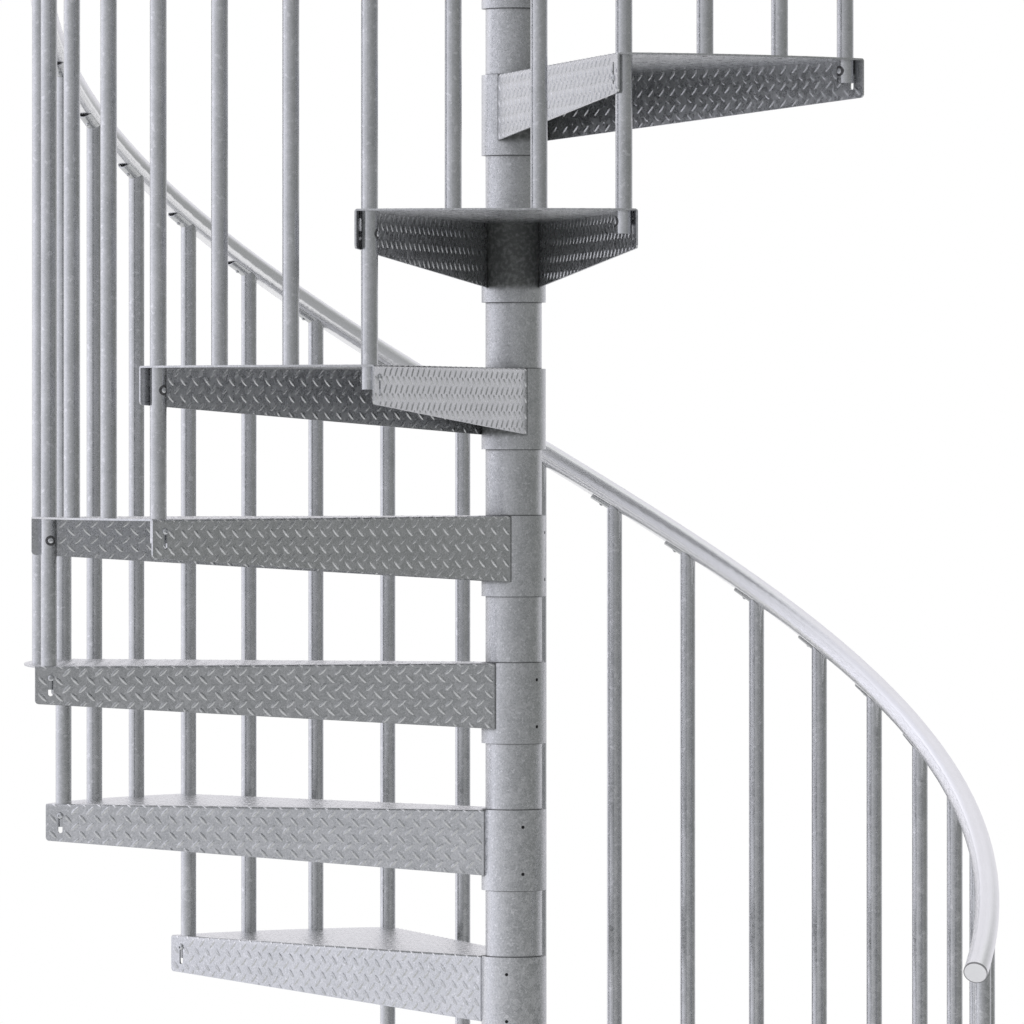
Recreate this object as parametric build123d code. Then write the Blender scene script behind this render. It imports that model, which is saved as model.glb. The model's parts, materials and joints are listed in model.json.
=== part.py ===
from build123d import *
import math
import os

# Spiral staircase. Millimetres, +Z up, origin on the column's axis at the floor.
# Angles are degrees about +Z from +X, and the stair climbs as they grow.

# Climb
tread_count = 12
rise = 231.8
tread_angle = 29.39
first_nose_angle = -11.18
baluster_circle_radius = 747.0
balusters_per_tread = 3

# Fits
sliding_clearance = 0.25
hole_clearance = 0.3
flange_clearance = 0.6
rail_clearance = 0.3
cut_overrun = 20.0

# Centre column and the sleeves that carry the treads
column_diameter = 88.9
column_wall = 5.5
sleeve_wall = 6.1
sleeve_height = 127.0

# Base plate
base_plate_side = 305.0
base_plate_thickness = 12.7
base_plate_corner_radius = 20.0
base_hole_diameter = 17.5
base_hole_spacing = 229.0

# Folded treads
sheet_thickness = 3.0
tread_overhang = 25.0
flange_depth_at_sleeve = 104.0
flange_depth_at_tip = 59.0
flange_corner_radius = 6.0
fold_radius = 4.5
flange_seat_share = 0.69
slot_width = 8.0
slot_top_depth = 13.0
slot_bottom_depth = 47.0

# Balusters
baluster_diameter = 25.4
baluster_wall = 1.65
baluster_tail = 37.0
tongue_length = 32.5
tongue_hollow = 3.2
tongue_corner_radius = 5.0

# Handrail
rail_diameter = 38.1
rail_wall = 3.0
rail_height = 953.0
rail_section_count = 3
rail_lead = 62.0
rail_overhang = 60.0
rail_cap_thickness = 3.0
rail_plug_length = 18.0
rail_plug_wall = 2.5

# Landing
landing_balusters_count = 6
landing_level_share = 0.5
landing_hole_diameter = 13.0
landing_hole_depth = 30.0
landing_hole_inner_spacing = 160.0
landing_hole_outer_spacing = 440.0

# Column cap
cap_skirt_depth = 22.0
cap_height = 12.0
cap_chamfer = 5.0
cap_wall = 3.0
column_above_rail = 40.0

# Worked out from the sizes above
column_radius = column_diameter / 2
sleeve_bore_radius = column_radius + sliding_clearance
sleeve_radius = sleeve_bore_radius + sleeve_wall
seat_radius = sleeve_radius + sliding_clearance
baluster_radius = baluster_diameter / 2
baluster_pitch = tread_angle / balusters_per_tread
rail_radius = rail_diameter / 2
tongue_bottom = rail_radius + rail_clearance + tongue_hollow + baluster_wall
climb_per_degree = rise / tread_angle
flange_seat = sleeve_radius * flange_seat_share
flange_line_offset = baluster_radius + flange_clearance + sheet_thickness
tread_radius = baluster_circle_radius + tread_overhang
landing_angle = landing_balusters_count * baluster_pitch
landing_nose_angle = first_nose_angle + tread_count * tread_angle
landing_height = (tread_count + 1) * rise
landing_rail_angle = landing_nose_angle + landing_level_share * baluster_pitch


def nosing_height(angle):
    return rise + (angle - first_nose_angle) * climb_per_degree


def degrees_on_circle(length):
    return math.degrees(length / baluster_circle_radius)


landing_rail_height = nosing_height(landing_rail_angle) + rail_height
rail_slope = math.degrees(math.atan(rise / (baluster_circle_radius * math.radians(tread_angle))))
column_top = landing_rail_height + column_above_rail
parts = {}


def turned(part, angle, lift):
    return Pos(0, 0, lift) * Rot(0, 0, angle) * part


# Path of the rail's centre line between two angles, passing angle zero at height zero
def rail_path(start, end, climb):
    if climb == 0:
        return CenterArc((0, 0), baluster_circle_radius, start, end - start)
    helix = Helix(pitch=climb * 360, height=climb * (end - start), radius=baluster_circle_radius)
    return Pos(0, 0, climb * start) * Rot(0, 0, start) * helix


# Section plane across a path, with its X axis pointing away from the column and its Y axis down
def across(path, share):
    point = path @ share
    return Plane(origin=point, x_dir=(point.X, point.Y, 0), z_dir=path % share)


def swept_round(start, end, climb, radius, bore=0):
    path = rail_path(start, end, climb)
    section = Circle(radius)
    if bore > 0:
        section -= Circle(bore)
    return sweep(across(path, 0) * section, path=path, is_frenet=True)


# Lower half of a round rod under the rail, from inside the tube out along the rail
def bent_half(climb, radius, length):
    section = across(rail_path(0, tread_angle, climb), 0)
    half = Circle(radius) & Pos(0, radius) * Rectangle(radius * 2, radius * 2)
    lead = baluster_wall + baluster_radius * section.z_dir.Z
    return extrude(section * Pos(0, tongue_bottom - baluster_radius, -lead) * half, lead + length)


# Half of the tube's own wall, bent over under the rail as a trough with rounded end corners
def tongue(climb):
    section = across(rail_path(0, tread_angle, climb), 0)
    outline = Rectangle(baluster_diameter, tongue_length * 2)
    outline = fillet(outline.vertices().group_by(Axis.Y)[-1], tongue_corner_radius)
    flat = Plane(origin=section.origin, x_dir=section.x_dir, z_dir=-section.y_dir)
    return bent_half(climb, baluster_radius, tongue_length) & extrude(flat * outline, -tongue_bottom)


# Upright tube on the baluster circle at angle zero, its rail's centre at height zero
def baluster(length, climb):
    footing = Pos(baluster_circle_radius, 0, -length)
    outside = extrude(footing * Circle(baluster_radius), length)
    inside = extrude(footing * Circle(baluster_radius - baluster_wall), length)
    reach = degrees_on_circle(rail_diameter + tongue_length)
    rail_space = swept_round(-reach, reach, climb, rail_radius + rail_clearance)
    hollow = bent_half(climb, baluster_radius - baluster_wall, tongue_length + cut_overrun)
    return outside + tongue(climb) - inside - rail_space - hollow


# Where a flange's outer face runs: its turn from the centre line of a tread of this span
def flange_turn(span):
    lean = math.degrees(math.asin((flange_seat - flange_line_offset) / baluster_circle_radius))
    return span / 2 - lean


# Side plate of a tread, along +X with its outer face on the XZ plane and its top at zero
def flange(hole_places):
    tip_place = math.sqrt(tread_radius**2 - flange_seat**2)
    seat_place = math.sqrt(sleeve_radius**2 - flange_seat**2)
    taper = (flange_depth_at_sleeve - flange_depth_at_tip) / (tip_place - seat_place)
    root_depth = flange_depth_at_sleeve + taper * seat_place
    far = tip_place + cut_overrun
    far_depth = flange_depth_at_tip - taper * cut_overrun
    side = Polygon((0, 0), (far, 0), (far, -far_depth), (0, -root_depth), align=None)
    tube_place = math.sqrt(baluster_circle_radius**2 - (flange_seat - flange_line_offset) ** 2)
    slot_length = slot_bottom_depth - slot_top_depth
    slot_middle = (slot_bottom_depth + slot_top_depth) / 2
    side -= Pos(tube_place, -slot_middle) * Rot(0, 0, 90) * SlotOverall(slot_length, slot_width)
    for place in hole_places:
        side -= Pos(place, -landing_hole_depth) * Circle(landing_hole_diameter / 2)
    return extrude(Plane.XZ * side, sheet_thickness, dir=(0, 1, 0))


# Folded plate about +X, its top at height zero, seated round the sleeve
def folded_plate(span, hole_places=()):
    turn = flange_turn(span)
    lean = math.radians(turn)
    far = tread_radius + cut_overrun
    near_y = flange_seat / math.cos(lean)
    far_y = near_y + far * math.tan(lean)
    wedge = Polygon((0, -near_y), (far, -far_y), (far, far_y), (0, near_y), align=None)
    onto_edge = Rot(0, 0, -turn) * Pos(0, -flange_seat, 0)
    plate = extrude(wedge, -sheet_thickness)
    plate += onto_edge * flange(())
    plate += mirror(onto_edge * flange(hole_places), Plane.XZ)
    room = flange_depth_at_sleeve * 2
    plate = plate & Cylinder(tread_radius, room * 2) - Cylinder(seat_radius, room * 2)
    folds = plate.edges().filter_by(
        lambda edge: edge.geom_type == GeomType.LINE
        and abs(edge.center().Z) < sliding_clearance
        and edge.length > baluster_circle_radius / 2
    )
    plate = fillet(folds, fold_radius)
    tips = plate.edges().filter_by(
        lambda edge: math.hypot(edge.center().X, edge.center().Y) > baluster_circle_radius
        and abs(edge.center().Z + flange_depth_at_tip) < sliding_clearance
    )
    plate = fillet(tips, flange_corner_radius)
    for side in (-1, 1):
        corner = Rot(0, 0, side * span / 2) * Pos(baluster_circle_radius, 0, 0)
        plate -= corner * Cylinder(baluster_radius + hole_clearance, cut_overrun)
    return plate


def sleeve():
    ring = Circle(sleeve_radius) - Circle(sleeve_bore_radius)
    return extrude(ring, -sleeve_height)


# Base plate and column
plate_outline = RectangleRounded(base_plate_side, base_plate_side, base_plate_corner_radius)
plate_outline -= GridLocations(base_hole_spacing, base_hole_spacing, 2, 2) * Circle(base_hole_diameter / 2)
parts["base_plate"] = extrude(plate_outline, base_plate_thickness)

pipe = Circle(column_radius) - Circle(column_radius - column_wall)
parts["center_column"] = extrude(Pos(0, 0, base_plate_thickness) * pipe, column_top - base_plate_thickness)

# Chamfered cap whose skirt slides into the column
skirt_radius = column_radius - column_wall - sliding_clearance
lid = extrude(Circle(column_radius), cap_height)
lid = chamfer(lid.edges().sort_by(Axis.Z)[-1], cap_chamfer)
skirt = extrude(Circle(skirt_radius) - Circle(skirt_radius - cap_wall), -cap_skirt_depth)
parts["column_cap"] = Pos(0, 0, column_top) * (lid + skirt)

# Treads and their sleeves
tread = folded_plate(tread_angle)
tread_sleeve = sleeve()
for step in range(1, tread_count + 1):
    middle = first_nose_angle + (step - 1 / 2) * tread_angle
    parts[f"tread_{step:02d}"] = turned(tread, middle, step * rise)
    parts[f"sleeve_{step:02d}"] = turned(tread_sleeve, middle, step * rise)

# Landing: a wider folded plate whose far flange is bolted to the building
far_places = []
landing_middle_place = (seat_radius + baluster_circle_radius) / 2
for spacing in (landing_hole_inner_spacing, landing_hole_outer_spacing):
    far_places += [landing_middle_place - spacing / 2, landing_middle_place + spacing / 2]
landing_middle = landing_nose_angle + landing_angle / 2
parts["landing_plate"] = turned(folded_plate(landing_angle, far_places), landing_middle, landing_height)
parts["landing_sleeve"] = turned(sleeve(), landing_middle, landing_height)

# Balusters: one corner tube and the tubes between on each tread
half_pitch_climb = rise / balusters_per_tread
corner_tube = baluster(rail_height + rise + baluster_tail, climb_per_degree)
first_tube = baluster(rail_height + rise, climb_per_degree)
tubes_between = []
for place in range(1, balusters_per_tread):
    tubes_between.append(baluster(rail_height + place * half_pitch_climb, climb_per_degree))


def tread_balusters(step):
    nose_angle = first_nose_angle + (step - 1) * tread_angle
    rail_at_nose = step * rise + rail_height
    corner = first_tube if step == 1 else corner_tube
    tubes = [turned(corner, nose_angle, rail_at_nose)]
    for place, tube in enumerate(tubes_between, start=1):
        lift = rail_at_nose + place * half_pitch_climb
        tubes.append(turned(tube, nose_angle + place * baluster_pitch, lift))
    return tubes


for step in range(1, tread_count, 2):
    pair = tread_balusters(step) + tread_balusters(step + 1)
    parts[f"balusters_{step:02d}_{step + 1:02d}"] = Compound(children=pair)

level_tube = baluster(landing_rail_height - landing_height, 0)
end_tube = baluster(landing_rail_height - landing_height + baluster_tail, 0)
landing_tubes = [turned(corner_tube, landing_nose_angle, landing_height + rail_height)]
for place in range(1, landing_balusters_count):
    landing_tubes.append(turned(level_tube, landing_nose_angle + place * baluster_pitch, landing_rail_height))
landing_tubes.append(turned(end_tube, landing_nose_angle + landing_angle, landing_rail_height))
parts["landing_balusters"] = Compound(children=landing_tubes)

# Handrail: climbing sections, then a level one over the landing, mitred where they meet
rail_start = first_nose_angle - degrees_on_circle(rail_lead)
section_angle = (landing_rail_angle - rail_start) / rail_section_count
bore_radius = rail_radius - rail_wall
mitre_room = degrees_on_circle(rail_diameter)
mitre_point = Rot(0, 0, landing_rail_angle) * Pos(baluster_circle_radius, 0, 0)
mitre = Pos(0, 0, landing_rail_height) * mitre_point * Rot(-90 + rail_slope / 2, 0, 0)
mitre_plane = Plane(mitre)
section_names = ["handrail_lower", "handrail_middle", "handrail_upper"]
for order, name in enumerate(section_names):
    start = rail_start + order * section_angle
    room = mitre_room if name == section_names[-1] else 0
    section = swept_round(0, section_angle + room, climb_per_degree, rail_radius, bore_radius)
    section = turned(section, start, nosing_height(start) + rail_height)
    if room > 0:
        section = split(section, bisect_by=mitre_plane, keep=Keep.BOTTOM)
    parts[name] = section

rail_end = landing_nose_angle + landing_angle + degrees_on_circle(rail_overhang)
level_start = landing_rail_angle - mitre_room
level_ring = Pos(baluster_circle_radius, 0) * (Circle(rail_radius) - Circle(bore_radius))
level = revolve(Plane.XZ * level_ring, Axis.Z, rail_end - level_start)
level = turned(level, level_start, landing_rail_height)
parts["landing_rail"] = split(level, bisect_by=mitre_plane, keep=Keep.TOP)


# Plug with a disc that closes the end of the rail
def rail_cap():
    disc = extrude(Circle(rail_radius), rail_cap_thickness)
    plug_radius = bore_radius - sliding_clearance
    plug = extrude(Circle(plug_radius) - Circle(plug_radius - rail_plug_wall), -rail_plug_length)
    return disc + plug


lower_end = turned(rail_path(0, section_angle, climb_per_degree), rail_start, nosing_height(rail_start) + rail_height)
lower_plane = Plane(origin=lower_end @ 0, z_dir=-(lower_end % 0))
parts["handrail_lower_cap"] = lower_plane * rail_cap()
upper_end = Pos(0, 0, landing_rail_height) * rail_path(landing_rail_angle, rail_end, 0)
upper_plane = Plane(origin=upper_end @ 1, z_dir=upper_end % 1)
parts["landing_rail_cap"] = upper_plane * rail_cap()

os.makedirs("parts", exist_ok=True)
for name, part in parts.items():
    export_step(part, f"parts/{name}.step")
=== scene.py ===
import json
import math

import bmesh
import bpy
from mathutils import Matrix, Vector


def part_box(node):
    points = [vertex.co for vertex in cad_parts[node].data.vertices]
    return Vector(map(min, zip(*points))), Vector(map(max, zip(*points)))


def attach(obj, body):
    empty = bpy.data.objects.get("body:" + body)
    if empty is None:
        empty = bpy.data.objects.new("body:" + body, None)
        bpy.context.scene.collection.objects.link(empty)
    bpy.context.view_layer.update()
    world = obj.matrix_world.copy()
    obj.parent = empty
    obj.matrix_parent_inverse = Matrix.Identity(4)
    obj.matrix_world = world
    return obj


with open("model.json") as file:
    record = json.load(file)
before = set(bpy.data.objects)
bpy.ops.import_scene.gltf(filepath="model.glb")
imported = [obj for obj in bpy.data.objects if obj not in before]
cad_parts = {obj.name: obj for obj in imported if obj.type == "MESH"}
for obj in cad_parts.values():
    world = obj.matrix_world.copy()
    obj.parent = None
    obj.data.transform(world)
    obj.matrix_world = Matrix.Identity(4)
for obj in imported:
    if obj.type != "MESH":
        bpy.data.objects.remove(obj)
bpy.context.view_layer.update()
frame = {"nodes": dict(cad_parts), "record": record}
cadNodes = frame["nodes"]
print("frame loaded,", len(cadNodes), "nodes")

# Plan of the stair, in metres and degrees; heights are read from the frame
stair = {
    "treads": 12,
    "treadAngle": 29.39,
    "firstNose": -11.18,
    "circle": 0.747,            # ring that the balusters stand on
    "tubesPerTread": 3,
    "landingTubes": 6,
    "levelShare": 0.5,          # where the rail turns level, in tube pitches past the landing's nose
    "railHeight": 0.953,
    "railRadius": 0.01905,
    "railLead": 0.062,          # rail's lower end before the first tube
    "railOverhang": 0.060,      # and its upper end past the last
    "tubeRadius": 0.0127,
    "tubeGap": 0.0006,          # tube to flange
}
tubePitch = stair["treadAngle"] / stair["tubesPerTread"]
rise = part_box("tread_02")[1].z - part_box("tread_01")[1].z
climb = rise / stair["treadAngle"]
sleeveRadius = (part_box("sleeve_01")[1].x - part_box("sleeve_01")[0].x) / 2
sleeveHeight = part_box("sleeve_01")[1].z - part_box("sleeve_01")[0].z
landingNose = stair["firstNose"] + stair["treads"] * stair["treadAngle"]
landingSpan = stair["landingTubes"] * tubePitch

# Folded tread: a flat top with a tapered flange down each side
folded = {
    "sheet": 0.003,
    "radius": 0.772,            # outer edge, from the column's axis
    "seatShare": 0.69,          # flange line's distance from the axis, of the sleeve's radius
    "depthAtSleeve": 0.104,
    "depthAtTip": 0.059,
    "slotBottom": 0.047,
    "tailDepth": 0.037,         # how far a corner tube reaches below the lower tread's top
}
seat = sleeveRadius * folded["seatShare"]
tubeLine = seat - folded["sheet"] - stair["tubeGap"] - stair["tubeRadius"]
tipPlace = math.sqrt(folded["radius"] ** 2 - seat ** 2)
hubPlace = math.sqrt(sleeveRadius ** 2 - seat ** 2)
tubePlace = math.sqrt(stair["circle"] ** 2 - tubeLine ** 2)
taper = (folded["depthAtSleeve"] - folded["depthAtTip"]) / (tipPlace - hubPlace)
up = Vector((0, 0, 1))


def climbingRail(angle):                        # height of the rail's middle where it climbs
    return rise + (angle - stair["firstNose"]) * climb + stair["railHeight"]


levelHeight = climbingRail(landingNose + stair["levelShare"] * tubePitch)
railSlope = math.atan(rise / (stair["circle"] * math.radians(stair["treadAngle"])))


def railSpot(angle, level):                     # rail's middle, its direction and its underside
    height = levelHeight if level else climbingRail(angle)
    slope = 0 if level else railSlope
    turn = math.radians(angle)
    place = Vector((stair["circle"] * math.cos(turn), stair["circle"] * math.sin(turn), height))
    ahead = Vector((-math.sin(turn), math.cos(turn), 0))
    along = ahead * math.cos(slope) + up * math.sin(slope)
    under = ahead * math.sin(slope) - up * math.cos(slope)
    return place, along, under


# Shader sums: a socket that takes part in Python expressions
class Wire:
    def __init__(self, tree, socket=None):
        self.tree = tree
        self.socket = socket

    def node(self, kind, settings=(), sockets=(), out=0):
        made = self.tree.nodes.new(kind)
        for name, value in dict(settings).items():
            setattr(made, name, value)
        for name, value in dict(sockets).items():
            if isinstance(value, Wire):
                self.tree.links.new(value.socket, made.inputs[name])
            else:
                made.inputs[name].default_value = value
        return Wire(self.tree, made.outputs[out]) if made.outputs else None

    def sum(self, operation, first, second=0.0):
        return self.node("ShaderNodeMath", {"operation": operation}, {0: first, 1: second})

    def __add__(self, other):
        return self.sum("ADD", self, other)

    def __radd__(self, other):
        return self.sum("ADD", other, self)

    def __sub__(self, other):
        return self.sum("SUBTRACT", self, other)

    def __rsub__(self, other):
        return self.sum("SUBTRACT", other, self)

    def __mul__(self, other):
        return self.sum("MULTIPLY", self, other)

    def __rmul__(self, other):
        return self.sum("MULTIPLY", other, self)

    def __truediv__(self, other):
        return self.sum("DIVIDE", self, other)

    def __pow__(self, other):
        return self.sum("POWER", self, other)

    def ramp(self, low, high):                  # smooth step from 0 at low to 1 at high
        settings = {"interpolation_type": "SMOOTHSTEP"}
        sockets = {"Value": self, "From Min": low, "From Max": high}
        return self.node("ShaderNodeMapRange", settings, sockets)

    def blend(self, first, second):             # colour between two, by this factor
        settings = {"data_type": "RGBA"}
        return self.node("ShaderNodeMix", settings, {0: self, 6: first, 7: second}, 2)


def colour(red, green, blue):
    return (red, green, blue, 1.0)


def newMaterial(name):
    made = bpy.data.materials.new(name)
    made.use_nodes = True
    made.node_tree.nodes.clear()
    return made, Wire(made.node_tree)


def noise(wire, place, size, detail=3.0, rough=0.55):
    sockets = {"Vector": place, "Scale": 1 / size, "Detail": detail, "Roughness": rough}
    return wire.node("ShaderNodeTexNoise", {}, sockets, "Fac")


def axes(wire, place):
    return [wire.node("ShaderNodeSeparateXYZ", {}, {0: place}, axis) for axis in "XYZ"]


# Hot-dip zinc: soft clouds, crystals and fine flecks, each at its own size in metres
plateFinish = {
    "light": colour(0.620, 0.625, 0.640),
    "dark": colour(0.390, 0.400, 0.405),
    "cloudSize": 0.055,
    "cloudShare": 0.35,
    "cloudDetail": 4.0,
    "crystalSize": 0.008,
    "crystalShare": 0.15,
    "grainSize": 0.0030,
    "grainShare": 1.1,
    "grainDetail": 2.0,
    "grainRough": 0.65,
    "fleckSize": 0.0060,
    "fleckShare": 0.45,
    "fleckDetail": 2.0,
    "fleckEdge": (0.60, 0.72),  # level of the noise where a fleck starts, and where it is full
    # paler zinc of rubbed treads, which also paints the tops' sheen and the glints on the fold's lugs
    "worn": colour(0.80, 0.80, 0.81),
    "metallic": 0.92,
    "roughness": 0.28,
    "roughCrystal": 0.12,       # how far crystals change the roughness
    "roughGrain": 0.15,         # and how far the grain does
    "bumpHeight": 0.00008,
    "bumpStrength": 0.35,
    "bumpShares": (0.6, 0.4),   # of the grain and of the crystals
}
pipeFinish = {
    **plateFinish,
    "light": colour(0.63, 0.635, 0.65),
    "dark": colour(0.37, 0.38, 0.385),
    "metallic": 1.0,
    "roughness": 0.27,
}
tubeFinish = {
    **plateFinish,
    "cloudShare": 0.5,
    "grainShare": 0.7,
    "fleckSize": 0.009,
    "fleckShare": 0.55,
    "metallic": 1.0,
    "roughness": 0.25,
}
# Painted contact shadow: dark lines where flange ends and the pipe meet the sleeves
seamShadow = {
    "onPlate": (0.00216, 0.00108),      # from the other piece, where the painted shadow line ends and is full
    "onPipe": (0.0018, 0.0009),
    "shade": colour(0.05, 0.05, 0.055),
    "strength": 0.65,
}
# Rubbed zinc on treads, which also paints the tops' sheen and the glints on the fold's lugs
wearAndSheen = {
    "top": (0.80, 0.96),        # upward share of the normal from which a tread is painted lighter, as rubbed zinc and as a painted sheen
    "edge": (0.0080, 0.0045),   # depth where the rubbing and painted glints of lugs on the fold end, and where they are full
    "strength": 0.85,
}
# Painted shade on the pipe, darker and duller where treads shelter it and between a tread's flanges
shelterShade = {
    "reach": 0.22,              # how far away a tread still shelters the pipe
    "samples": 8,
    "open": (0.25, 0.70),       # share of open sky where the painted shade is fullest, and where the pipe is clear
    "speckle": (0.40, 0.70),
    "pocket": (59, 55),         # degrees each side of a tread's middle that its flanges close off
    "depth": (0.110, 0.098),    # and how far down
    "light": colour(0.225, 0.233, 0.225),
    "dark": colour(0.120, 0.125, 0.120),
    "metallic": 0.3,
    "roughness": 0.55,
}


def treadWearAndSheen(wire, place, coat, finish):       # tops painted lighter, as zinc rubbed by feet and as a painted sheen
    normal = wire.node("ShaderNodeNewGeometry", {}, {}, "Normal")
    top = axes(wire, normal)[2].ramp(*wearAndSheen["top"])
    return {**coat, "Base Color": (top * wearAndSheen["strength"]).blend(coat["Base Color"], finish["worn"])}


def lugWearAndGlints(wire, place, coat, finish):         # lugs on the fold painted bright, as rubbed zinc and as painted glints
    coat = treadWearAndSheen(wire, place, coat, finish)
    half = rise / 2
    depth = wire.sum("FLOORED_MODULO", half - axes(wire, place)[2], rise) - half
    edge = wire.sum("ABSOLUTE", depth).ramp(*wearAndSheen["edge"])
    return {**coat, "Base Color": (edge * wearAndSheen["strength"]).blend(coat["Base Color"], finish["worn"])}


def shadedPocket(wire, place):                      # sleeve between its tread's two flanges, where shade is painted
    x, y, z = axes(wire, place)
    step = wire.sum("CEIL", z / rise)
    middle = (step - 0.5) * stair["treadAngle"] + stair["firstNose"]
    turn = wire.sum("ARCTAN2", y, x) * math.degrees(1) - middle
    aside = wire.sum("ABSOLUTE", wire.sum("FLOORED_MODULO", turn + 180, 360) - 180)
    depth = step * rise - z
    below = wire.sum("LESS_THAN", step, stair["treads"] + 0.5)
    return aside.ramp(*shelterShade["pocket"]) * depth.ramp(*shelterShade["depth"]) * below


def pipeShelterShade(wire, place, coat, finish):       # painted shade: darker and duller where treads shelter the pipe
    settings = {"samples": shelterShade["samples"]}
    clear = wire.node("ShaderNodeAmbientOcclusion", settings, {"Distance": shelterShade["reach"]}, "AO")
    clear = clear.ramp(*shelterShade["open"]) * (1 - shadedPocket(wire, place))
    speckle = noise(wire, place, finish["fleckSize"]).ramp(*shelterShade["speckle"])
    shadedTone = speckle.blend(shelterShade["dark"], shelterShade["light"])
    return {
        "Base Color": clear.blend(shadedTone, coat["Base Color"]),
        "Metallic": shelterShade["metallic"] + clear * (finish["metallic"] - shelterShade["metallic"]),
        "Roughness": coat["Roughness"] * clear + (1 - clear) * shelterShade["roughness"],
    }


def plateSeamShadow(wire, x, y, z):                   # painted shadow line where a flange's end meets its sleeve
    reach = wire.sum("SQRT", x * x + y * y)
    return (reach - sleeveRadius).ramp(*seamShadow["onPlate"])


def pipeSeamShadow(wire, x, y, z):                    # painted shadow lines where the pipe runs into a sleeve's two ends
    level = wire.sum("FLOORED_MODULO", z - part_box("sleeve_01")[1].z, rise)
    above = level.ramp(*seamShadow["onPipe"])
    foot = rise - sleeveHeight
    below = (foot - level).ramp(*seamShadow["onPipe"]) * wire.sum("LESS_THAN", level, foot)
    column = wire.sum("LESS_THAN", z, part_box("landing_sleeve")[1].z + seamShadow["onPipe"][0])
    return (above + below) * column


def zincMaterial(name, finish, seamShadowMask=None, ageingAndPaintedLight=None):
    made, wire = newMaterial(name)
    place = wire.node("ShaderNodeTexCoord", {}, {}, "Object")
    cloud = noise(wire, place, finish["cloudSize"], finish["cloudDetail"])
    grain = noise(wire, place, finish["grainSize"], finish["grainDetail"], finish["grainRough"])
    fleck = noise(wire, place, finish["fleckSize"], finish["fleckDetail"]).ramp(*finish["fleckEdge"])
    cells = {"Vector": place, "Scale": 1 / finish["crystalSize"]}
    crystal = wire.node("ShaderNodeTexVoronoi", {}, cells, "Color")
    crystal = wire.node("ShaderNodeSeparateColor", {}, {"Color": crystal}, "Red")
    tone = 0.5 + (cloud - 0.5) * finish["cloudShare"] + (grain - 0.5) * finish["grainShare"]
    tone = tone + (crystal - 0.5) * finish["crystalShare"] + fleck * finish["fleckShare"]
    shade = tone.ramp(0.0, 1.0).blend(finish["dark"], finish["light"])
    roughness = finish["roughness"] + (crystal - 0.5) * finish["roughCrystal"]
    roughness = roughness + (grain - 0.5) * finish["roughGrain"]
    coat = {"Base Color": shade, "Metallic": finish["metallic"], "Roughness": roughness}
    # rubbed zinc with painted sheen and glints on treads, painted shade on the pipe
    if ageingAndPaintedLight:
        coat = ageingAndPaintedLight(wire, place, coat, finish)
    # painted contact shadow where parts meet
    if seamShadowMask:
        dark = seamShadowMask(wire, *axes(wire, place)) * seamShadow["strength"]
        coat["Base Color"] = dark.blend(coat["Base Color"], seamShadow["shade"])
    height = grain * finish["bumpShares"][0] + crystal * finish["bumpShares"][1]
    sockets = {"Strength": finish["bumpStrength"], "Distance": finish["bumpHeight"], "Height": height}
    bump = wire.node("ShaderNodeBump", {}, sockets)
    surface = wire.node("ShaderNodeBsdfPrincipled", {}, {**coat, "Normal": bump})
    wire.node("ShaderNodeOutputMaterial", {}, {"Surface": surface})
    return made


# Mill-finish aluminium with faint drawing lines that follow the rail's climb, and its paler end plugs
railFinish = {
    "light": colour(0.87, 0.87, 0.89),
    "dark": colour(0.80, 0.80, 0.815),
    "lineSize": 0.0012,
    "lineStretch": 0.12,        # how much finer the lines are across the rail than along it
    "lineShare": 0.7,
    "lineDetail": 2.0,
    "lineRough": 0.5,
    "cloudSize": 0.04,
    "cloudShare": 0.6,
    "metallic": 0.9,
    "roughness": 0.20,
    "roughLine": 0.08,          # how far lines change the roughness
    "roughCloud": 0.06,
    "bumpHeight": 0.00005,
    "bumpStrength": 0.08,
}
capFinish = {
    **railFinish,
    "light": colour(0.98, 0.98, 0.99),
    "dark": colour(0.94, 0.94, 0.95),
    "rim": colour(0.27, 0.27, 0.275),
    "rimShares": (0.90, 0.95),  # of the rail's radius
    "metallic": 0.8,
}


def capRim(wire, place, middle, along):         # shadow gap round a plug
    offset = wire.node("ShaderNodeVectorMath", {"operation": "SUBTRACT"}, {0: place, 1: middle})
    aside = wire.node("ShaderNodeVectorMath", {"operation": "CROSS_PRODUCT"}, {0: offset, 1: along})
    reach = wire.node("ShaderNodeVectorMath", {"operation": "LENGTH"}, {0: aside}, "Value")
    return (reach / stair["railRadius"]).ramp(*capFinish["rimShares"])


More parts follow.
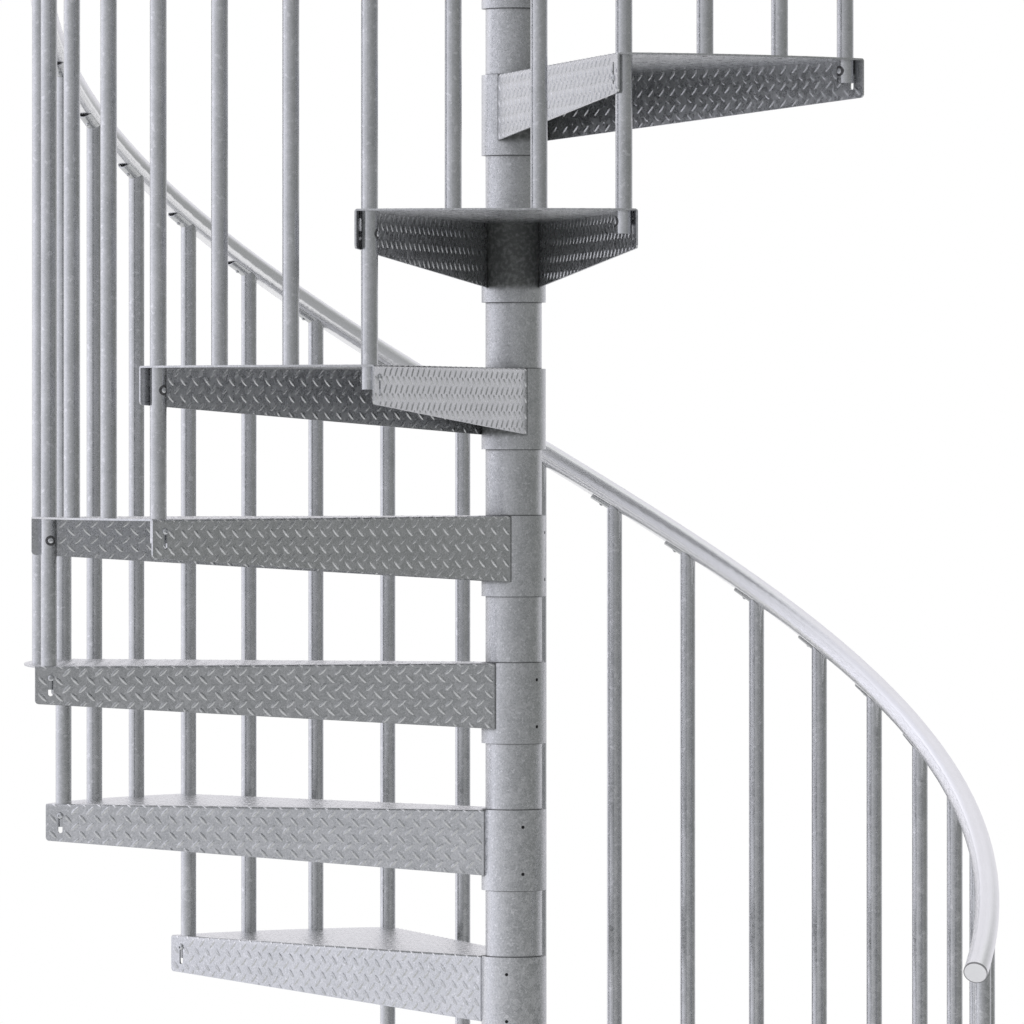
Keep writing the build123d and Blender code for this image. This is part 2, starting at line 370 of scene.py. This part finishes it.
def railMaterial(name, finish, end=None):
    made, wire = newMaterial(name)
    place = wire.node("ShaderNodeTexCoord", {}, {}, "Object")
    x, y, z = axes(wire, place)
    angle = wire.sum("ARCTAN2", y, x)
    reach = wire.sum("SQRT", x * x + y * y)
    level = z - angle * math.degrees(climb)
    along = angle * (stair["circle"] * finish["lineStretch"])
    drawn = wire.node("ShaderNodeCombineXYZ", {}, {0: reach, 1: along, 2: level})
    lines = noise(wire, drawn, finish["lineSize"], finish["lineDetail"], finish["lineRough"])
    cloud = noise(wire, place, finish["cloudSize"])
    tone = 0.5 + (lines - 0.5) * finish["lineShare"] + (cloud - 0.5) * finish["cloudShare"]
    shade = tone.ramp(0.0, 1.0).blend(finish["dark"], finish["light"])
    if end:
        shade = capRim(wire, place, *end[:2]).blend(shade, finish["rim"])
    roughness = finish["roughness"] + (lines - 0.5) * finish["roughLine"]
    roughness = roughness + (cloud - 0.5) * finish["roughCloud"]
    sockets = {"Strength": finish["bumpStrength"], "Distance": finish["bumpHeight"], "Height": lines}
    bump = wire.node("ShaderNodeBump", {}, sockets)
    sockets = {"Base Color": shade, "Metallic": finish["metallic"], "Roughness": roughness, "Normal": bump}
    surface = wire.node("ShaderNodeBsdfPrincipled", {}, sockets)
    wire.node("ShaderNodeOutputMaterial", {}, {"Surface": surface})
    return made


# Bright zinc bolts, black screws, and dark washers that also paint the shadow ring round domed heads
boltFinish = {
    "light": colour(0.64, 0.65, 0.67),
    "dark": colour(0.46, 0.47, 0.48),
    "patchSize": 0.0022,
    "patchEdge": (0.3, 0.7),
    "metallic": 0.9,
    "roughness": 0.30,
    "roughSpread": 0.25,
}
screwFinish = {
    **boltFinish,
    "light": colour(0.035, 0.035, 0.037),
    "dark": colour(0.012, 0.012, 0.013),
    "roughness": 0.5,
}
shadowWasherFinish = {
    **boltFinish,
    "light": colour(0.16, 0.16, 0.165),
    "dark": colour(0.07, 0.07, 0.072),
    "roughness": 0.45,
}


def fastenerMaterial(name, finish):
    made, wire = newMaterial(name)
    place = wire.node("ShaderNodeTexCoord", {}, {}, "Object")
    patch = noise(wire, place, finish["patchSize"])
    shade = patch.ramp(*finish["patchEdge"]).blend(finish["dark"], finish["light"])
    roughness = finish["roughness"] + (patch - 0.5) * finish["roughSpread"]
    sockets = {"Base Color": shade, "Metallic": finish["metallic"], "Roughness": roughness}
    surface = wire.node("ShaderNodeBsdfPrincipled", {}, sockets)
    wire.node("ShaderNodeOutputMaterial", {}, {"Surface": surface})
    return made


# Plates and lugs carry painted sheen, glints and contact shadow; the pipe carries painted shade and contact
# shadow
plateZinc = zincMaterial("zincPlate", plateFinish, plateSeamShadow, treadWearAndSheen)
lugZinc = zincMaterial("zincLugs", plateFinish, plateSeamShadow, lugWearAndGlints)
pipeZinc = zincMaterial("zincPipe", pipeFinish, pipeSeamShadow, pipeShelterShade)
tubeZinc = zincMaterial("zincTube", tubeFinish)
railMetal = railMaterial("railAluminium", railFinish)
railStart = stair["firstNose"] - math.degrees(stair["railLead"] / stair["circle"])
railEnd = landingNose + landingSpan + math.degrees(stair["railOverhang"] / stair["circle"])
capMetals = {
    "handrail_lower_cap": railMaterial("railLowerCap", capFinish, railSpot(railStart, False)),
    "landing_rail_cap": railMaterial("railUpperCap", capFinish, railSpot(railEnd, True)),
}
boltZinc = fastenerMaterial("boltZinc", boltFinish)
screwBlack = fastenerMaterial("screwBlack", screwFinish)
shadowWasherZinc = fastenerMaterial("shadowWasherZinc", shadowWasherFinish)
slotMaterials = {
    "tread_plate": plateZinc,
    "column_steel": pipeZinc,
    "baluster_tube": tubeZinc,
    "rail_aluminium": railMetal,
}
for subpart in frame["record"]["subparts"]:
    node = subpart["node"]
    material = capMetals.get(node) or slotMaterials[subpart["material_slot"]]
    cadNodes[node].material_slots[0].material = material
print("materials laid on the frame")


def addPiece(name, mesh, material):
    mesh.materials.append(material)
    piece = bpy.data.objects.new(name, mesh)
    bpy.context.scene.collection.objects.link(piece)
    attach(piece, "root")
    return piece


def meshFrom(bm, name, sharp=50):
    mesh = bpy.data.meshes.new(name)
    bm.to_mesh(mesh)
    bm.free()
    mesh.shade_smooth()
    mesh.set_sharp_from_angle(angle=math.radians(sharp))
    return mesh


def lay(bm, mesh, matrix):                      # adds a placed copy of a small mesh
    copy = mesh.copy()
    copy.transform(matrix)
    bm.from_mesh(copy)
    bpy.data.meshes.remove(copy)


def faceMatrix(origin, right):                  # carries a flat pattern onto an upright face
    turn = Matrix((right, up, right.cross(up))).transposed().to_4x4()
    return Matrix.Translation(origin) @ turn


# Raised lugs of the checker plate
lug = {
    "pitch": 0.0254,            # between lugs that lean the same way
    "length": 0.0200,
    "width": 0.0068,
    "height": 0.0012,
    "innerRising": 0.0009,      # height on a flange's inner face, of lugs that rise towards the tip
    "innerFalling": 0.0006,     # and of the others
    "worn": 0.00025,            # height where feet have worn the tread's top
    "sunk": 0.0002,             # part of the lug inside the sheet
    "sides": 8,
    "shoulder": (0.82, 0.55, 0.62),     # shares of the length, the width and the height
    "crown": (0.62, 0.18, 1.00),
    "lean": 45,                 # degrees, either way
    "leanDown": 0.0232,         # depth of the first row that leans one way
    "leanUp": 0.0105,           # and the other
    "tipPlace": 0.0117,         # first lug from the tip
    "foldRadius": 0.0045,       # outer bend between the top and a flange
    "foldFade": 3,              # power by which a lug's height fades over the bend
    "foldMargin": 0.0120,       # bare strip on the top, which the rows over the bend fill
    "edgeMargin": 0.0010,
    "clearShares": {            # room kept round other things, in half lengths of a lug
        "hub": 1 / 2,
        "tube": 1 / 3,
        "slot": 0.8,
        "slotEnd": 1 / 2,
        "hole": 1.4,
        "topTube": 1 / 2,
    },
    "arcCuts": 8,
    "sliver": 0.000005,         # edges that a trim leaves shorter than this are closed up
}


def lugMesh(height):
    bm = bmesh.new()
    bmesh.ops.create_circle(bm, cap_ends=True, segments=lug["sides"], radius=0.5)
    bmesh.ops.scale(bm, vec=(lug["length"], lug["width"], 1), verts=bm.verts)
    bmesh.ops.translate(bm, vec=(0, 0, -lug["sunk"]), verts=bm.verts)
    top = bm.faces[:]
    last = (1, 1, -lug["sunk"] / height)
    for share in (lug["shoulder"], lug["crown"]):
        grown = bmesh.ops.extrude_face_region(bm, geom=top)
        if last[2] > 0:
            bmesh.ops.delete(bm, geom=top, context="FACES_ONLY")    # no face is left inside the lug
        rim = [item for item in grown["geom"] if isinstance(item, bmesh.types.BMVert)]
        top = [item for item in grown["geom"] if isinstance(item, bmesh.types.BMFace)]
        bmesh.ops.scale(bm, vec=(share[0] / last[0], share[1] / last[1], 1), verts=rim)
        bmesh.ops.translate(bm, vec=(0, 0, (share[2] - last[2]) * height), verts=rim)
        last = share
    bmesh.ops.recalc_face_normals(bm, faces=bm.faces)
    return meshFrom(bm, "lug")


def overFold(mesh, radius):                     # bends what lies past the top edge round the fold
    for vert in mesh.vertices:
        past = vert.co.y + radius
        if past > 0:
            turn = min(past / radius, math.pi / 2)
            flat = past - turn * radius
            lost = (turn / (math.pi / 2)) ** lug["foldFade"] * (1 - lug["worn"] / lug["height"])
            reach = radius + vert.co.z * (1 - lost)
            vert.co.y = reach * math.sin(turn) - radius
            vert.co.z = reach * math.cos(turn) - radius - flat


def trim(bm, point, outward):                   # cuts off what lies beyond a line of the pattern
    geom = bm.verts[:] + bm.edges[:] + bm.faces[:]
    cut = bmesh.ops.bisect_plane(bm, geom=geom, plane_co=point, plane_no=outward, clear_outer=True)
    rims = [item for item in cut["geom_cut"] if isinstance(item, bmesh.types.BMEdge)]
    bmesh.ops.holes_fill(bm, edges=rims)


def lugRow(first, low, high):                   # places along one direction that fall in a range
    start = math.ceil((low - first) / lug["pitch"])
    end = math.floor((high - first) / lug["pitch"])
    return [first + lug["pitch"] * count for count in range(start, end + 1)]


def lugField(pair, low, high, first, keeps, edges):
    bm = bmesh.new()
    half = lug["pitch"] / 2
    sets = (
        (pair[0], first[0], first[1], -lug["lean"]),
        (pair[1], first[0] + half, first[2], lug["lean"]),
    )
    for small, across, along, lean in sets:
        turn = Matrix.Rotation(math.radians(lean), 4, "Z")
        for u in lugRow(across, low[0], high[0]):
            for v in lugRow(along, low[1], high[1]):
                if keeps(u, v):
                    lay(bm, small, Matrix.Translation((u, v, 0)) @ turn)
    for point, outward in edges:
        trim(bm, (*point, 0), (*outward, 0))
    bmesh.ops.dissolve_degenerate(bm, dist=lug["sliver"], edges=bm.edges)
    bmesh.ops.recalc_face_normals(bm, faces=bm.faces)
    mesh = bpy.data.meshes.new("field")
    bm.to_mesh(mesh)
    bm.free()
    return mesh


def flangeLine(side, span):                     # direction along a flange and its outward normal
    lean = math.asin(tubeLine / stair["circle"])
    turn = math.radians(span / 2) - lean
    along = Vector((math.cos(turn), side * math.sin(turn), 0))
    outward = Vector((-math.sin(turn), side * math.cos(turn), 0))
    return along, outward


def layFlangeLugs(bm, heights, side, span, holes):
    along, outward = flangeLine(side, span)
    length = tipPlace - hubPlace
    slotPlace = tipPlace - tubePlace
    reach = lug["length"] / 2
    clear = {thing: reach * share for thing, share in lug["clearShares"].items()}
    for inner in (False, True):
        normal = -outward if inner else outward
        right = up.cross(normal)
        tipLeft = right.dot(along) < 0
        way = 1 if tipLeft else -1              # from the tip towards the hub, in the pattern
        inset = seat - folded["sheet"] if inner else seat

        def keeps(u, v):
            place, depth = u * way, -v
            if place > length - clear["hub"]:
                return False
            aside = abs(place - slotPlace)
            if inner and aside < stair["tubeRadius"] + clear["tube"]:       # only below the tube's tail
                return side > 0 and depth > folded["tailDepth"] + reach
            if aside < clear["slot"] and depth < folded["slotBottom"] + clear["slotEnd"]:
                return False
            return all(math.hypot(place - hole[0], depth - hole[1]) > clear["hole"] for hole in holes)

        low = (min(0, way * length), -folded["depthAtSleeve"] - reach)
        high = (max(0, way * length), reach / 2)
        slope = Vector((-taper * way, -1)).normalized()
        bottom = folded["depthAtTip"] - lug["edgeMargin"]
        edges = [
            ((0, -bottom), slope),
            ((way * lug["edgeMargin"], 0), (-way, 0)),
            ((way * (length - lug["edgeMargin"]), 0), (way, 0)),
        ]
        if inner:
            edges.append(((0, -lug["foldRadius"]), (0, 1)))
        first = (way * lug["tipPlace"], -lug["leanDown"], -lug["leanUp"])
        pair = [heights["tall"]] * 2
        if inner:
            pair = [heights["rising"], heights["falling"]]
            pair = pair if tipLeft else pair[::-1]
        field = lugField(pair, low, high, first, keeps, edges)
        overFold(field, lug["foldRadius"])
        origin = along * tipPlace + outward * inset
        lay(bm, field, faceMatrix(origin, right))
        bpy.data.meshes.remove(field)


def layTopLugs(bm, small, span, tubes):
    reach = lug["length"] / 2
    far = folded["radius"]
    width = far * math.sin(math.radians(min(span / 2, 90))) + seat
    clear = stair["tubeRadius"] + reach * lug["clearShares"]["topTube"]

    def keeps(u, v):
        if math.hypot(u, v) < sleeveRadius + reach or math.hypot(u, v) > far + reach:
            return False
        return all(math.hypot(u - x, v - y) > clear for x, y in tubes)

    edges = []
    for side in (-1, 1):
        along, outward = flangeLine(side, span)
        edge = outward * (seat - lug["foldMargin"])
        edges.append((edge.xy, outward.xy))
    for cut in range(lug["arcCuts"]):
        angle = math.radians(span * ((cut + 0.5) / lug["arcCuts"] - 0.5))
        outward = Vector((math.cos(angle), math.sin(angle)))
        edges.append((outward * (far - lug["edgeMargin"]), outward))
    field = lugField([small] * 2, (0, -width), (far, width), (0, 0, lug["pitch"] / 2), keeps, edges)
    lay(bm, field, Matrix.Identity(4))
    bpy.data.meshes.remove(field)


def tubePlaces(span):                           # tubes on a tread, in its own frame
    count = round(span / tubePitch)
    places = []
    for order in range(count + 1):
        angle = math.radians(order * tubePitch - span / 2)
        places.append((stair["circle"] * math.cos(angle), stair["circle"] * math.sin(angle)))
    return places


def treadLugs(span, holes=()):
    kinds = {"tall": "height", "rising": "innerRising", "falling": "innerFalling", "worn": "worn"}
    heights = {kind: lugMesh(lug[setting]) for kind, setting in kinds.items()}
    bm = bmesh.new()
    layTopLugs(bm, heights["worn"], span, tubePlaces(span))
    layFlangeLugs(bm, heights, -1, span, ())
    layFlangeLugs(bm, heights, 1, span, holes)
    for small in heights.values():
        bpy.data.meshes.remove(small)
    return meshFrom(bm, "treadLugs")


def onTread(middle, top):
    return Matrix.Translation((0, 0, top)) @ Matrix.Rotation(math.radians(middle), 4, "Z")


landing = {"holeDepth": 0.030, "spacings": (0.160, 0.440)}
landingMiddle = (sleeveRadius + stair["circle"]) / 2
landingHoles = []
for spacing in landing["spacings"]:
    for way in (-1, 1):
        landingHoles.append((tipPlace - landingMiddle - way * spacing / 2, landing["holeDepth"]))

# Every plate's name, its span in degrees, its middle's angle and the height of its top
plates = []
for step in range(1, stair["treads"] + 1):
    name = f"tread_{step:02d}"
    middle = stair["firstNose"] + (step - 0.5) * stair["treadAngle"]
    plates.append((name, stair["treadAngle"], middle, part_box(name)[1].z))
plates.append(("landing_plate", landingSpan, landingNose + landingSpan / 2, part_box("landing_plate")[1].z))


def dressPlates(ending, plain, wide, material):       # the wide mesh is the landing's
    for name, span, middle, top in plates:
        mesh = (plain if span < landingSpan else wide).copy()
        mesh.transform(onTread(middle, top))
        addPiece(name + ending, mesh, material)


plainLugs = treadLugs(stair["treadAngle"])
landingLugs = treadLugs(landingSpan, landingHoles)
dressPlates("_lugs", plainLugs, landingLugs, lugZinc)
print("lugs:", len(plainLugs.polygons), "faces a tread,", len(landingLugs.polygons), "on the landing")


# Button-head bolts, turned about +Z from z = 0 up as all small fasteners are
bolt = {
    "radius": 0.0054,
    "height": 0.0033,
    "socketRadius": 0.0022,
    "socketDepth": 0.0016,
    "domeRadius": 0.0043,       # plain domed head on the tube's side
    "domeHeight": 0.0016,
    "backDepth": 0.0190,        # below the tread's top, at the back flange
    "noseDepth": 0.0370,        # and at the nose flange
    "steps": 16,
}
# Profiles as shares of the radius and the height, from the middle or a socket's edge outwards
buttonShares = ((0.62, 0.93), (0.86, 0.66), (1, 0.25), (1, 0), (0, 0))
domeShares = ((0, 1), (0.45, 0.93), (0.75, 0.70), (0.93, 0.38), (1, 0.15), (1, 0), (0, 0))
mergeReach = 0.00001            # points of a turned mesh that lie closer are one


def turnedMesh(profile, steps):
    bm = bmesh.new()
    verts = [bm.verts.new((radius, 0, height)) for radius, height in profile]
    edges = [bm.edges.new(pair) for pair in zip(verts, verts[1:])]
    bmesh.ops.spin(
        bm, geom=verts + edges, cent=(0, 0, 0), axis=(0, 0, 1), angle=math.tau, steps=steps, use_merge=True
    )
    bmesh.ops.remove_doubles(bm, verts=bm.verts, dist=mergeReach)
    bmesh.ops.recalc_face_normals(bm, faces=bm.faces)
    return meshFrom(bm, "turned")


def buttonMesh(size):
    bed = size["height"] - size["socketDepth"]
    socket = [(0, bed), (size["socketRadius"], bed), (size["socketRadius"], size["height"])]
    head = [(size["radius"] * out, size["height"] * lift) for out, lift in buttonShares]
    return turnedMesh(socket + head, size["steps"])


def domeMesh(radius, height, steps):
    return turnedMesh([(radius * out, height * lift) for out, lift in domeShares], steps)


def pointing(place, direction):                 # stands a turned piece on a face
    return Matrix.Translation(place) @ Vector(direction).to_track_quat("Z", "Y").to_matrix().to_4x4()


def boltSpots(span):                            # on each flange's outer face and on its tube's far side
    spots = []
    for side, depth in ((-1, bolt["noseDepth"]), (1, bolt["backDepth"])):
        along, outward = flangeLine(side, span)
        middle = along * tubePlace - up * depth
        onFlange = pointing(middle + outward * seat, outward)
        onTube = pointing(middle + outward * (tubeLine - stair["tubeRadius"]), -outward)
        spots.append((onFlange, onTube))
    return spots


def treadBolts(span):
    bm = bmesh.new()
    button = buttonMesh(bolt)
    dome = domeMesh(bolt["domeRadius"], bolt["domeHeight"], bolt["steps"])
    for onFlange, onTube in boltSpots(span):
        lay(bm, button, onFlange)
        lay(bm, dome, onTube)
    for head in (button, dome):
        bpy.data.meshes.remove(head)
    return meshFrom(bm, "treadBolts")


plainBolts = treadBolts(stair["treadAngle"])
dressPlates("_bolts", plainBolts, treadBolts(landingSpan), boltZinc)
print("bolts:", len(plainBolts.polygons), "faces a tread")

# Dark saddle washer under each domed head, bent round its tube, which also stands in for the shadow ring
# round the head
saddle = {"radius": 0.0081, "thickness": 0.0004, "rings": 4, "steps": 24}


def saddleMesh():
    radii = [saddle["radius"] * ring / saddle["rings"] for ring in range(saddle["rings"] + 1)]
    profile = [(radius, saddle["thickness"]) for radius in radii] + [(radius, 0) for radius in radii[::-1]]
    mesh = turnedMesh(profile, saddle["steps"])
    for vert in mesh.vertices:
        vert.co.z += math.sqrt(stair["tubeRadius"] ** 2 - vert.co.x ** 2) - stair["tubeRadius"]
    return mesh


def tubeShadowWashers():
    bm = bmesh.new()
    small = saddleMesh()
    for name, span, middle, top in plates:
        for onFlange, onTube in boltSpots(span):
            lay(bm, small, onTread(middle, top) @ onTube)
    bpy.data.meshes.remove(small)
    return meshFrom(bm, "tubeShadowWashers")


addPiece("tube_shadow_washers", tubeShadowWashers(), shadowWasherZinc)

# Flat dark screw under each tube that stands on a tread between its corners
flat = {"radius": 0.0047, "height": 0.0005, "steps": 16}


def footScrews():
    bm = bmesh.new()
    small = domeMesh(flat["radius"], flat["height"], flat["steps"])
    for name, span, middle, top in plates:
        for x, y in tubePlaces(span)[1:-1]:
            lay(bm, small, onTread(middle, top) @ pointing((x, y, -folded["sheet"]), -up))
    bpy.data.meshes.remove(small)
    return meshFrom(bm, "footScrews")


addPiece("foot_screws", footScrews(), screwBlack)

# Two grub screws in each sleeve, opposite its tread
grub = {
    "radius": 0.0027,
    "height": 0.0003,
    "socketRadius": 0.0014,
    "socketDepth": 0.0002,
    "steps": 12,
    "turn": 136.3,              # from the tread's middle, degrees
    "edge": 0.0265,             # from the sleeve's top and foot
}


def sleeveScrews():
    bm = bmesh.new()
    small = buttonMesh(grub)
    for name, span, middle, top in plates:
        angle = math.radians(middle + grub["turn"])
        outward = Vector((math.cos(angle), math.sin(angle), 0))
        for depth in (grub["edge"], sleeveHeight - grub["edge"]):
            lay(bm, small, pointing(outward * sleeveRadius + up * (top - depth), outward))
    bpy.data.meshes.remove(small)
    return meshFrom(bm, "sleeveScrews")


addPiece("sleeve_screws", sleeveScrews(), screwBlack)

# One screw up through each tube's tongue into the rail
tongue = {
    "radius": 0.0032,
    "height": 0.0018,
    "socketRadius": 0.0012,
    "socketDepth": 0.0008,
    "steps": 12,
    "under": 0.0242,            # tongue's underside from the rail's middle
    "climbing": 0.0107,         # screw's place past the tube's middle, where the rail climbs
    "level": 0.0225,            # and where it is level
}


def tongueScrews():
    bm = bmesh.new()
    small = buttonMesh(tongue)
    climbing = stair["treads"] * stair["tubesPerTread"] + 1
    for order in range(climbing + stair["landingTubes"]):
        level = order >= climbing
        reach = tongue["level"] if level else tongue["climbing"]
        angle = stair["firstNose"] + order * tubePitch + math.degrees(reach / stair["circle"])
        place, ahead, down = railSpot(angle, level)
        lay(bm, small, pointing(place + down * tongue["under"], down))
    bpy.data.meshes.remove(small)
    return meshFrom(bm, "tongueScrews")


addPiece("tongue_screws", tongueScrews(), boltZinc)
print("screws set")

# Pale floor that fades into the white surround
floor = {
    "radius": 6.0,
    "fade": (2.2, 5.2),         # where the floor turns white, from the column's axis
    "mirrorFade": (0.4, 1.2),   # and where it does in the metal's reflections
    "segments": 96,
    "light": colour(0.83, 0.83, 0.83),
    "dark": colour(0.80, 0.80, 0.80),
    "cloudSize": 0.4,
    "cloudDetail": 4.0,
    "roughness": 0.85,
}


def floorMaterial():
    made, wire = newMaterial("paleFloor")
    place = wire.node("ShaderNodeTexCoord", {}, {}, "Object")
    cloud = noise(wire, place, floor["cloudSize"], floor["cloudDetail"])
    sockets = {"Base Color": cloud.blend(floor["dark"], floor["light"]), "Roughness": floor["roughness"]}
    matt = wire.node("ShaderNodeBsdfPrincipled", {}, sockets)
    away = wire.node("ShaderNodeVectorMath", {"operation": "LENGTH"}, {0: place}, "Value")
    seen = wire.node("ShaderNodeLightPath", {}, {}, "Is Camera Ray")
    mirrored = wire.node("ShaderNodeLightPath", {}, {}, "Is Glossy Ray")
    fade = away.ramp(*floor["fade"]) * seen + away.ramp(*floor["mirrorFade"]) * mirrored
    white = wire.node("ShaderNodeEmission", {}, {"Color": colour(1, 1, 1), "Strength": 1.0})
    surface = wire.node("ShaderNodeMixShader", {}, {0: fade, 1: matt, 2: white})
    wire.node("ShaderNodeOutputMaterial", {}, {"Surface": surface})
    return made


def makeFloor():
    bm = bmesh.new()
    bmesh.ops.create_circle(bm, cap_ends=True, segments=floor["segments"], radius=floor["radius"])
    mesh = meshFrom(bm, "floor")
    mesh.materials.append(floorMaterial())
    piece = bpy.data.objects.new("floor", mesh)
    bpy.context.scene.collection.objects.link(piece)


makeFloor()

# Surround: white behind, bright to the left and above, falling off across the front to the right
surround = {
    "left": 1.36,
    "leftTurn": -94,            # degrees from the camera's side
    "right": 0.37,
    "rightTurn": 90,
    "fall": 2.2,                # power of the fall from left to right
    "backLeft": 1.35,
    "backRight": 0.88,
    "backSpread": (-0.95, -0.25),       # sideways share over which the back goes from left to right
    "backTurn": (98, 148),      # degrees over which the front gives way to the back
    "above": 0.95,
    "aboveSpread": (0.55, 0.95),        # upward share over which the sides give way to the top
    "leftTint": colour(0.97, 0.97, 1.05),
    "rightTint": colour(0.98, 1.0, 0.985),
    "backTint": colour(0.995, 0.985, 1.03),
}


def makeSurround():
    world = bpy.data.worlds.new("studio")
    world.use_nodes = True
    world.node_tree.nodes.clear()
    wire = Wire(world.node_tree)
    x, y, z = axes(wire, wire.node("ShaderNodeTexCoord", {}, {}, "Generated"))
    turn = wire.sum("ARCTAN2", x, 0 - y) * math.degrees(1)
    width = surround["rightTurn"] - surround["leftTurn"]
    share = wire.sum("MINIMUM", wire.sum("MAXIMUM", (surround["rightTurn"] - turn) / width, 0), 1)
    front = surround["right"] + share ** surround["fall"] * (surround["left"] - surround["right"])
    behind = wire.sum("ABSOLUTE", turn).ramp(*surround["backTurn"])
    rightward = x.ramp(*surround["backSpread"])
    back = rightward * (surround["backRight"] - surround["backLeft"]) + surround["backLeft"]
    around = front * (1 - behind) + behind * back
    overhead = z.ramp(*surround["aboveSpread"])
    around = around * (1 - overhead) + overhead * surround["above"]
    seen = wire.node("ShaderNodeLightPath", {}, {}, "Is Camera Ray")
    tint = behind.blend(share.blend(surround["rightTint"], surround["leftTint"]), surround["backTint"])
    tint = seen.blend(tint, colour(1, 1, 1))
    strength = around * (1 - seen) + seen
    surface = wire.node("ShaderNodeBackground", {}, {"Color": tint, "Strength": strength})
    wire.node("ShaderNodeOutputWorld", {}, {"Surface": surface})
    bpy.context.scene.world = world


makeSurround()

# Level camera with a long lens, at the photograph's place
view = {
    "place": (0.00769, -12.5507, 1.9764),
    "lens": 279.29,
    "sensor": 36.0,
    "shift": (-0.00636, -0.0719),
    "clip": (0.1, 200.0),
}


def makeCamera():
    data = bpy.data.cameras.new("camera")
    data.lens = view["lens"]
    data.sensor_width = view["sensor"]
    data.shift_x, data.shift_y = view["shift"]
    data.clip_start, data.clip_end = view["clip"]
    camera = bpy.data.objects.new("camera", data)
    camera.location = view["place"]
    camera.rotation_euler = (math.pi / 2, 0, 0)
    bpy.context.scene.collection.objects.link(camera)
    bpy.context.scene.camera = camera


makeCamera()
bpy.context.scene.view_settings.view_transform = "Standard"
print("floor, surround and camera set")
